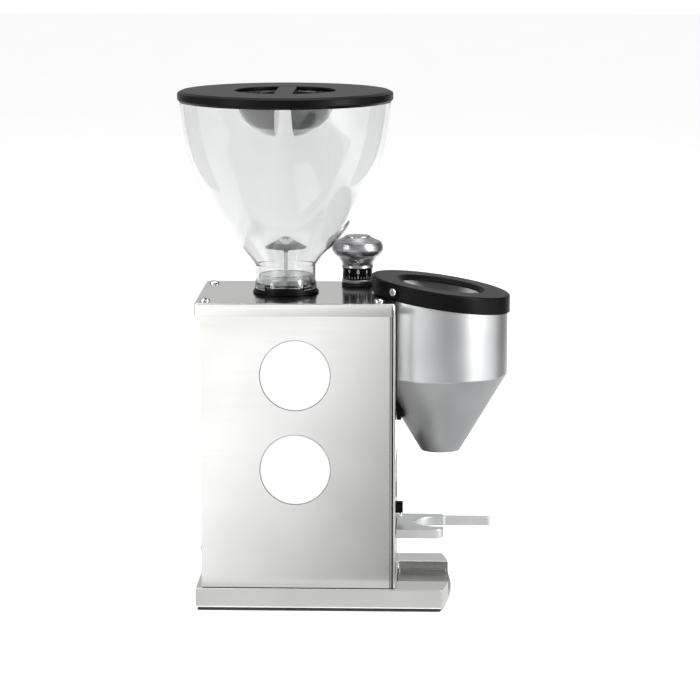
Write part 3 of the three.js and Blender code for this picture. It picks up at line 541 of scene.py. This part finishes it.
low, high = corners("top_cover")
knob_low, knob_high = corners("adjust_knob")
KNOB_X = (knob_low.x + knob_high.x) / 2
KNOB_Y = (knob_low.y + knob_high.y) / 2
cover = bmesh.new()
box_edge(cover, (low.x, high.x), (low.y, high.y), 3, 8)
disc_edge(cover, 0, 0, 23)
disc_edge(cover, KNOB_X, KNOB_Y, 6, 48)
bmesh.ops.triangle_fill(cover, use_beauty=True, use_dissolve=False, edges=cover.edges[:], normal=(0, 0, 1))
bmesh.ops.dissolve_limit(cover, angle_limit=radians(0.1), verts=cover.verts, edges=cover.edges)
skirt = bmesh.ops.extrude_edge_only(cover, edges=[e for e in cover.edges if on_outline(e)])
hem = [v for v in skirt["geom"] if isinstance(v, bmesh.types.BMVert)]
bmesh.ops.translate(cover, vec=(0, 0, (low.z - high.z) * MM), verts=hem)
ease(cover, 0.9, 4, 60)
stand(cover, Matrix(), (0, 0, high.z))
piece("folded_top_cover", cover, POLISHED, "case", ["top_cover"], 1.5)

for word in ("rear_left", "rear_right", "front_left", "front_right"):
    low, high = corners(f"cover_screw_{word}")
    screw = socket_head(softened([(0, low.z), (1.6, low.z), (1.6, high.z - 1.6), (4.1, high.z - 1.6),
                                  (4.0, high.z - 0.9, 0.5), (2.5, high.z)]), 2.6, 1.2)
    stand(screw, Matrix(), ((low.x + high.x) / 2, (low.y + high.y) / 2, 0))
    piece(f"socket_screw_{word}", screw, POLISHED, "case", [f"cover_screw_{word}"])

# ---------------------------------------------------------------- grind adjuster
# The knob is turned from aluminium bar and left satin, with a fine tool line all round. Below it sit
# a black numbered ring that turns with it, a fixed steel flange and a thin rubber washer.


def turned_aluminium():
    """Aluminium bar turned on a lathe: fine rings round the axis, drawn 0.5 mm apart so that they
    show, and a soft metal sheen."""
    made, tree, shader = new_material("turned_aluminium", Metallic=1.0)
    place = add(tree, "ShaderNodeTexCoord")
    parts = add(tree, "ShaderNodeSeparateXYZ", {"Vector": place.outputs["Object"]})
    rings = add(tree, "ShaderNodeTexNoise", {
        "W": parts.outputs["Z"], "Scale": 1 / (0.5 * MM), "Detail": 2.0}, noise_dimensions="1D")
    gloss = add(tree, "ShaderNodeMapRange", {
        "Value": rings.outputs["Fac"], "From Min": 0.3, "From Max": 0.7, "To Min": 0.24, "To Max": 0.36})
    relief = add(tree, "ShaderNodeBump", {
        "Height": rings.outputs["Fac"], "Strength": 0.6, "Distance": 0.02 * MM})
    tree.links.new(gloss.outputs["Result"], shader.inputs["Roughness"])
    tree.links.new(relief.outputs["Normal"], shader.inputs["Normal"])
    clouded(tree, shader, place, 8, "#97979a", "#a6a6a8")
    return made


def moulded_black():
    """Black ABS moulded in a spark-eroded tool: a satin skin with a fine grain."""
    made, tree, shader = new_material("moulded_black_abs", Metallic=0.0, Specular_IOR_Level=0.08)
    place = grainy(tree, shader, 0.6, (0.32, 0.44), 0.006)
    clouded(tree, shader, place, 20, "#040405", "#070708")
    return made


def white_ink():
    """Pad-printed white ink, a little thin in places."""
    made, tree, shader = new_material("white_ink", Metallic=0.0)
    place = grainy(tree, shader, 0.4, (0.45, 0.6), 0.002)
    clouded(tree, shader, place, 1.5, "#d4d4d2", "#ededeb")
    return made


TURNED = turned_aluminium()
BLACK = moulded_black()
INK = white_ink()
flange_low, flange_high = corners("knob_flange")
dial_low, dial_high = corners("dial_ring")
low, high = corners("adjust_knob")
foot, crown = low.z, high.z
knob = turned(softened([
    (0, crown), (9.7, crown, 0.35), (9.9, crown - 0.9), (10.5, crown - 1.1, 0.3), (15.2, crown - 3.4, 2),
    (18.3, crown - 4.6, 1.1), (19.7, crown - 7.6), (20, crown - 10), (19.5, crown - 12.4),
    (18.1, crown - 14.3, 0.9), (15.0, crown - 16.6, 5), (12.4, foot + 4.2, 5), (11.7, foot + 1.5, 3),
    (12.4, foot + 0.3, 0.25), (12.2, foot), (0, foot)], 5), 144)
stand(knob, Matrix(), (KNOB_X, KNOB_Y, 0))
piece("turned_knob", knob, TURNED, "knob", ["adjust_knob"])

DIAL_RADIUS = (dial_high.x - dial_low.x) / 2
dial = turned(softened([(4.3, dial_low.z), (DIAL_RADIUS, dial_low.z, 0.3), (DIAL_RADIUS, dial_high.z, 0.3),
                        (4.3, dial_high.z)]), 144, closed=True)
stand(dial, Matrix(), (KNOB_X, KNOB_Y, 0))
piece("numbered_dial", dial, BLACK, "knob", ["dial_ring"])


def wrapped(bm, angle):
    """Rolls a flat print, drawn in X and Z mm with its face towards -Y, round the dial."""
    for v in bm.verts:
        turn = angle + v.co.x / (DIAL_RADIUS * MM)
        radius = DIAL_RADIUS * MM - v.co.y
        v.co = Vector((KNOB_X * MM + radius * cos(turn), KNOB_Y * MM + radius * sin(turn), v.co.z))


DIAL_NUMBERS = 10
for number in range(DIAL_NUMBERS):
    angle = radians(184) + number * 2 * pi / DIAL_NUMBERS
    text = bpy.data.curves.new("numeral", "FONT")
    text.body = str(number)
    text.size = 4.4 * MM
    text.align_x = "CENTER"
    text.extrude = 0.04 * MM
    carrier = bpy.data.objects.new("numeral", text)
    bpy.context.collection.objects.link(carrier)
    flat_mesh = carrier.to_mesh()
    print_marks = bmesh.new()
    print_marks.from_mesh(flat_mesh)
    carrier.to_mesh_clear()
    bpy.data.objects.remove(carrier)
    stand(print_marks, ACROSS_BACK, (0, 0, dial_low.z + 4.6))
    block(print_marks, (-0.2, 0.2), (-0.04, 0.04), (dial_low.z + 0.6, dial_low.z + 3.4))
    for step in (-1, 1):
        minor = step * 2 * pi / DIAL_NUMBERS / 3 * DIAL_RADIUS
        block(print_marks, (minor - 0.14, minor + 0.14), (-0.04, 0.04), (dial_low.z + 0.6, dial_low.z + 2.2))
    wrapped(print_marks, angle)
    piece(f"dial_number_{number}", print_marks, INK, "knob")

flange = turned(softened([
    (4.4, 237.9), (11.4, 237.9, 0.3), (12.1, 238.7, 0.4), (12.1, flange_high.z - 0.8, 0.5),
    (11.6, flange_high.z, 0.2), (4.4, flange_high.z)]), 128, closed=True)
spigot = turned([(4.4, flange_low.z), (5.6, flange_low.z), (5.6, 238), (4.4, 238)], 48, closed=True)
merge(flange, spigot)
stand(flange, Matrix(), (KNOB_X, KNOB_Y, 0))
piece("steel_flange", flange, TURNED, "case", ["knob_flange"])
washer = turned(softened([
    (6.2, 235.75), (12.3, 235.75, 0.5), (12.3, 237.7, 0.5), (6.2, 237.7)]), 96, closed=True)
stand(washer, Matrix(), (KNOB_X, KNOB_Y, 0))
piece("flange_washer", washer, RUBBER, "case")

# ---------------------------------------------------------------- hopper
# A bell blown in clear polycarbonate, even in wall, on a neck with a stepped spigot. The spigot
# drops into a black collar, whose rim dips at the front and rear for two clear tabs of the hopper.


def clear_polycarbonate():
    """Clear polycarbonate: bends light like glass, with the faint ripple of a blow moulding."""
    made, tree, shader = new_material(
        "clear_polycarbonate", Metallic=0.0, IOR=1.5, Transmission_Weight=1.0, Roughness=0.02)
    place = add(tree, "ShaderNodeTexCoord")
    ripple = add(tree, "ShaderNodeTexNoise", {
        "Vector": place.outputs["Object"], "Scale": 1 / (28 * MM), "Detail": 1.0})
    relief = add(tree, "ShaderNodeBump", {
        "Height": ripple.outputs["Fac"], "Strength": 0.4, "Distance": 0.15 * MM})
    tree.links.new(relief.outputs["Normal"], shader.inputs["Normal"])
    tint = add(tree, "ShaderNodeValToRGB", {"Fac": ripple.outputs["Fac"]})
    tint.color_ramp.elements[0].color = linear("#ebecec")
    tint.color_ramp.elements[1].color = linear("#f1f1f1")
    tree.links.new(tint.outputs["Color"], shader.inputs["Base Color"])
    return made


def spline(points, steps):
    """A smooth curve through (radius, height) points, which passes through each of them."""
    made = []
    padded = [points[0]] + points + [points[-1]]
    for before, start, end, after in zip(padded, padded[1:], padded[2:], padded[3:]):
        for k in range(steps):
            t = k / steps
            made.append(tuple(0.5 * (
                2 * b + (c - a) * t + (2 * a - 5 * b + 4 * c - d) * t ** 2 + (3 * b - a - 3 * c + d) * t ** 3)
                for a, b, c, d in zip(before, start, end, after)))
    return made + [points[-1]]


def sliced(bm, place, normal, **clear):
    """Cuts the whole mesh by a plane, and clears the side that clear_inner or clear_outer names."""
    bmesh.ops.bisect_plane(bm, geom=bm.verts[:] + bm.edges[:] + bm.faces[:], dist=0.001 * MM,
                           plane_co=Vector(place) * MM, plane_no=normal, **clear)


CLEAR = clear_polycarbonate()
low, high = corners("hopper")
WALL = 2.2
SEAT = 241.3
rim = high.x
bell = spline([(23.4, 257), (28.6, 263.6), (37.7, 273.8), (48.9, 288.2), (59, 305), (67.4, 323.4),
               (73.7, 342), (77.7, 361.5), (rim, high.z)], 5)
inside = [(r - WALL, z + 0.6) for r, z in reversed(bell[:-1])]
hopper = turned(softened(
    [(18.8, low.z), (20.8, low.z, 0.3), (20.8, SEAT, 0.3), (23.4, SEAT, 0.5)] + bell
    + [(rim - WALL, high.z)] + inside + [(21.2, 242.9, 0.8), (18.8, 242.9, 0.5)]), 180, closed=True)
TAB_ENDS = (39, 141)
for side in (-1, 1):
    tab = turned(softened([
        (21.6, 239.3, 0.3), (23.9, 239.3, 0.4), (23.9, 242, 0.6), (21.6, 242, 0.3)]), 180, closed=True)
    for end in TAB_ENDS:
        edge = Vector((cos(radians(end)), side * sin(radians(end)), 0)).cross(Vector((0, 0, 1)))
        sliced(tab, (0, 0, 0), edge if edge.dot(Vector((0, side, 0))) > 0 else -edge, clear_inner=True)
        bmesh.ops.holes_fill(tab, edges=[e for e in tab.edges if e.is_boundary], sides=0)
    merge(hopper, tab)
piece("blown_hopper", hopper, CLEAR, "hopper_unit", ["hopper"])

low, high = corners("hopper_collar")
collar = turned(softened([
    (21.2, low.z), (22.5, low.z), (22.5, 236), (25.2, 236, 0.3), (25.2, 237.2, 0.4), (24.1, 237.7, 0.3),
    (24.1, high.z, 0.6), (21.2, high.z, 0.3)]), 180, closed=True)
for v in collar.verts:
    if v.co.z > 238.3 * MM:
        away = abs(atan2(v.co.y, abs(v.co.x)))
        v.co.z -= (1.0 * (away / radians(38)) ** 2 if away < radians(38) else 2.2) * MM
piece("neck_collar", collar, BLACK, "case", ["hopper_collar"])

# ---------------------------------------------------------------- bean guard
# An umbrella moulded in tinted polycarbonate on a thin stem. It stands on a bar across a ring that
# is pressed into the neck, and keeps the weight of the beans off the burrs.


def tinted_polycarbonate():
    """Clear polycarbonate with a light smoke tint, slightly clouded by moulding."""
    made, tree, shader = new_material(
        "tinted_polycarbonate", Metallic=0.0, IOR=1.58, Transmission_Weight=0.9, Roughness=0.08)
    place = grainy(tree, shader, 5, (0.05, 0.12), 0.01)
    clouded(tree, shader, place, 9, "#d6d8d9", "#e2e3e4")
    return made


TINTED = tinted_polycarbonate()
low, high = corners("bean_guard")
umbrella = turned(softened([
    (0, high.z), (2.4, high.z - 0.5, 2), (9, high.z - 4.4, 12), (16, high.z - 8.2, 0.3),
    (15.8, high.z - 8.9, 0.2), (7, high.z - 6.4, 4), (3.4, high.z - 10.4, 1.5),
    (1.5, high.z - 12, 1), (1.3, 248), (0, 248)]), 96)
ring = turned(softened([
    (18.4, low.z, 0.3), (20.8, low.z, 0.4), (20.8, 250, 0.4), (18.4, 250, 0.5)]), 144, closed=True)
merge(umbrella, ring)
block(umbrella, (-19.4, 19.4), (-1.9, 1.9), (247, 250), 0.4)
for side in (-1, 1):
    block(umbrella, (side * 18.8 - 1.2, side * 18.8 + 1.2), (-1.9, 1.9), (low.z, 250), 0.4)
piece("umbrella_guard", umbrella, TINTED, "hopper_unit", ["bean_guard"])

# ---------------------------------------------------------------- hopper lid
# A black moulded ring that plugs the hopper, crossed by a bar to hold it by. Two smoked finger
# scoops hang in its opening, one on each side of the bar.


def smoked_polycarbonate():
    """Smoked polycarbonate: see-through grey, darker where light passes through more of it."""
    made, tree, shader = new_material(
        "smoked_polycarbonate", Metallic=0.0, IOR=1.58, Transmission_Weight=0.85, Roughness=0.06)
    place = grainy(tree, shader, 7, (0.04, 0.1), 0.008)
    clouded(tree, shader, place, 12, "#44474b", "#54575b")
    return made


SMOKED = smoked_polycarbonate()
low, high = corners("hopper_lid")
top = high.z
OPENING = 38.4
lid = turned(softened([
    (OPENING, top - 3, 0.4), (74.2, top - 3), (74.2, 381.2, 0.4), (76.2, 381.2, 0.4), (76.4, 382.2),
    (80.6, 382.2, 0.5), (high.x, 383.4, 0.8), (high.x, top - 1.6, 1.4), (high.x - 3.4, top, 1.2),
    (OPENING, top, 0.8)]), 200, closed=True)
block(lid, (-OPENING - 2, OPENING + 2), (-7, 7), (top - 2.9, top - 0.1), 0.7, 3)
piece("ring_lid", lid, BLACK, "lid", ["hopper_lid"])

low, high = corners("lid_scoops")
RIM_Z = high.z
bowl = spline([(0, 355.6), (7.3, 355.7), (12.8, 356.1), (16.8, 357.6), (21.5, 360), (26.7, 362.5),
               (31.3, 367), (34.4, 372), (37.2, 377.5), (38, 382), (38.1, RIM_Z - 0.2)], 4)
scoops = bmesh.new()
for side in (-1, 1):
    half_bowl = turned(bowl, 144)
    sliced(half_bowl, (0, side * 5.6, RIM_Z), (0, side * 19.4, 1.0), clear_inner=True)
    far_half = [f for f in half_bowl.faces if f.calc_center_median().y * side < 0]
    bmesh.ops.delete(half_bowl, geom=far_half, context="FACES")
    brink = [e for e in half_bowl.edges if e.is_boundary and (
        min(v.co.z for v in e.verts) < (RIM_Z - 0.6) * MM)]
    corner_verts = {v for e in brink for v in e.verts if sum(x in brink for x in v.link_edges) == 1}
    if len(corner_verts) == 2:
        brink.append(half_bowl.edges.new(tuple(corner_verts)))
    bmesh.ops.triangle_fill(half_bowl, use_beauty=True, use_dissolve=False, edges=brink)
    merge(scoops, half_bowl)
piece("finger_scoops", scoops, SMOKED, "lid", ["lid_scoops"], 1.6)
scoop_flange = turned(softened([
    (36.6, RIM_Z - 2), (43, RIM_Z - 2, 0.4), (43, RIM_Z, 0.3), (36.6, RIM_Z)]), 144, closed=True)
piece("scoop_flange", scoop_flange, SMOKED, "lid")

# ---------------------------------------------------------------- dosing funnel
# The funnel is spun from aluminium and blasted satin, with a flat back that hooks on a black
# bracket. Its black cap is a drum cut at a slant, held by a socket screw on each side.


def blasted_aluminium():
    """Spun aluminium blasted with glass beads: fine pits (0.1 mm, drawn at 0.5 mm so that they
    show) scatter the light into broad soft bands, and the spinning leaves slight rings."""
    made, tree, shader = new_material("blasted_aluminium", Metallic=1.0)
    place = grainy(tree, shader, 0.5, (0.36, 0.44), 0.012)
    clouded(tree, shader, place, 45, "#a9aaab", "#b5b6b7")
    return made


BLASTED = blasted_aluminium()
low, high = corners("dosing_funnel")
FUNNEL_RADIUS = 50.9
CONE_Y = low.y + FUNNEL_RADIUS
CAP_CENTRE = 242.6
CAP_SLOPE = tan(radians(8.44))


def slant(z):
    """A plane parallel to the cap's top, z mm up the funnel's axis, for a piece at the origin."""
    return (0, 0, z), (0, -CAP_SLOPE, 1)


def in_back(vert):
    """True for a corner that lies in the plane of the flat back."""
    return abs(vert.co.y - BACK * MM) < 0.01 * MM


TALL = 262
BACK = high.y - CONE_Y
funnel = turned(softened([(15, low.z), (FUNNEL_RADIUS, 174, 3), (FUNNEL_RADIUS, TALL)], 6), 200)
sliced(funnel, (0, BACK, 0), (0, 1, 0), clear_outer=True)
back_edges = [e for e in funnel.edges if e.is_boundary and all(in_back(v) for v in e.verts)]
ends = [v for v in {v for e in back_edges for v in e.verts} if v.co.z > (TALL - 0.1) * MM]
back_edges.append(funnel.edges.new(ends))
bmesh.ops.triangle_fill(funnel, use_beauty=True, use_dissolve=True, edges=back_edges)
sliced(funnel, *slant(CAP_CENTRE - 4.3), clear_outer=True)

# The flat back has a slot, open at the foot, that slides over the bracket.
SLOT = 22.5
SLOT_TOP = 224.4
for x in (-SLOT, SLOT):
    sliced(funnel, (x, 0, 0), (1, 0, 0))
sliced(funnel, (0, 0, SLOT_TOP), (0, 0, 1))
middles = {f: f.calc_center_median() / MM for f in funnel.faces}
hook = [f for f, m in middles.items() if m.y > BACK - 0.05 and abs(m.x) < SLOT and m.z < SLOT_TOP]
bmesh.ops.delete(funnel, geom=hook, context="FACES")
stand(funnel, Matrix(), (0, CONE_Y, 0))
piece("spun_funnel", funnel, BLASTED, "case", ["dosing_funnel"], 2)

cap_low, cap_high = corners("funnel_cap")
CAP_RADIUS = 52.7
cap = turned(softened([
    (34.2, 0, 0.4), (CAP_RADIUS, 0, 1.3), (CAP_RADIUS, -13, 0.4), (51.2, -13, 0.3), (51.2, -4), (31, -4, 0.3),
    (31, -3.2, 0.4)]), 200, closed=True)
shear = Matrix.Identity(4)
shear[2][1] = CAP_SLOPE
stand(cap, shear, (0, CONE_Y, CAP_CENTRE))
cover_low, cover_high = corners("top_cover")
for v in cap.verts:
    if v.co.y > (cover_low.y - 0.3) * MM:
        v.co.z = max(v.co.z, (cover_high.z + 0.3) * MM)
piece("slanted_cap", cap, BLACK, "case", ["funnel_cap"])

for side, word in ((-1, "left"), (1, "right")):
    screw = socket_head(softened([
        (0, 46.5), (1.6, 46.5), (1.6, 52.8), (3, 52.8, 0.3), (3, 54.8, 0.6), (2.1, 54.9)]), 2.6, 1.3)
    turn = Matrix.Rotation(atan2(35.2, side * 39.5), 4, "Z") @ Matrix.Rotation(pi / 2, 4, "Y")
    stand(screw, turn, (0, CONE_Y, 241.5))
    piece(f"cap_socket_screw_{word}", screw, POLISHED, "case", [f"cap_screw_{word}"])

refined("funnel_bracket", "moulded_bracket", BLACK, "case", 0.5)

# ---------------------------------------------------------------- portafilter fork
# A fork sawn from satin aluminium plate, with a notch for the spouts and one long finger. A small
# steel stud stands at its root, and the button that starts the motor sits above it.


def satin_plate():
    """Aluminium plate, ground flat and anodised clear: brighter than the funnel, with fine grain."""
    made, tree, shader = new_material("anodised_aluminium_plate", Metallic=1.0)
    place = grained(tree, shader, 0.5, ("y", 30), (0.30, 0.40), 0.008)
    clouded(tree, shader, place, 25, "#cfd0d1", "#d8d9da")
    return made


PLATE = satin_plate()
refined("portafilter_fork", "satin_fork", PLATE, "case", 0.7, 3)
fork_low, fork_high = corners("portafilter_fork")
stud_foot = fork_high.z - 0.5
stud_top = fork_high.z + 2.3
stud = turned(softened([(0, stud_foot), (1.3, stud_foot), (1.3, stud_top, 0.5), (0, stud_top)]), 32)
stand(stud, Matrix(), (25, -88, 0))
piece("fork_stud", stud, POLISHED, "case")
refined("start_plunger", "start_button", BLACK, "plunger", 0.4, 3)

# ---------------------------------------------------------------- inlet and switch
# The mains inlet and the power switch are black mouldings clipped into the rear panel, and the
# rocker tilts in its own bezel.

refined("inlet_socket", "mains_inlet", BLACK, "case", 0.4)
refined("switch_housing", "switch_bezel", BLACK, "case", 0.4)
refined("power_rocker", "rocker", BLACK, "rocker", 0.5, 3)

# ---------------------------------------------------------------- inner works
# Everything inside the case keeps its own shape: the cast end bells and grinding body, laminated
# motor cores, copper windings, ground shafts and burrs, the chute, the board and the frame.


def cast_aluminium():
    """Pressure-cast aluminium: dull, with a sandy skin and cloudy flow marks."""
    made, tree, shader = new_material("cast_aluminium", Metallic=1.0)
    place = grainy(tree, shader, 1.2, (0.45, 0.62), 0.05)
    clouded(tree, shader, place, 10, "#96979a", "#a8a9aa")
    return made


def mill_steel():
    """Bright mild steel as it comes from the mill or the grinder, with a light film of oil."""
    made, tree, shader = new_material("mill_steel", Metallic=1.0)
    place = grained(tree, shader, 0.6, ("z", 20), (0.3, 0.45), 0.01)
    clouded(tree, shader, place, 14, "#8c8c8c", "#9e9e9d")
    return made


def enamelled_copper():
    """Winding wire: copper under clear enamel. Single turns of 0.5 mm show as fine ridges."""
    made, tree, shader = new_material("enamelled_copper", Metallic=1.0, Coat_Weight=0.4, Coat_Roughness=0.2)
    place = grained(tree, shader, 0.5, ("x", 12), (0.3, 0.42), 0.08)
    clouded(tree, shader, place, 6, "#9a5a30", "#b8713f")
    return made


def circuit_board():
    """Glass-epoxy board under green solder resist."""
    made, tree, shader = new_material("solder_resist", Metallic=0.0)
    place = grainy(tree, shader, 2.0, (0.3, 0.45), 0.02)
    clouded(tree, shader, place, 5, "#14432f", "#1b5a3e")
    return made


INNER = {
    cast_aluminium(): ("motor_bell_top", "motor_bell_bottom", "grind_chamber", "lower_burr_carrier",
                       "upper_burr_carrier", "adjusting_ring"),
    mill_steel(): ("side_frame_left", "side_frame_right", "motor_stator", "bearing_top", "bearing_bottom",
                   "rotor_core", "rotor_shaft", "lower_burr", "carrier_nut", "upper_burr", "knob_spindle",
                   "adjusting_pinion", "fork_bolt_left", "fork_bolt_right"),
    enamelled_copper(): ("stator_windings",),
    circuit_board(): ("control_board",),
    BLACK: ("cooling_fan", "start_switch"),
    WHITE: ("run_capacitor",),
    BRUSHED: ("grounds_chute",),
}
for material, nodes in INNER.items():
    for node in nodes:
        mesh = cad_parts[node].data
        mesh.materials.clear()
        mesh.materials.append(material)
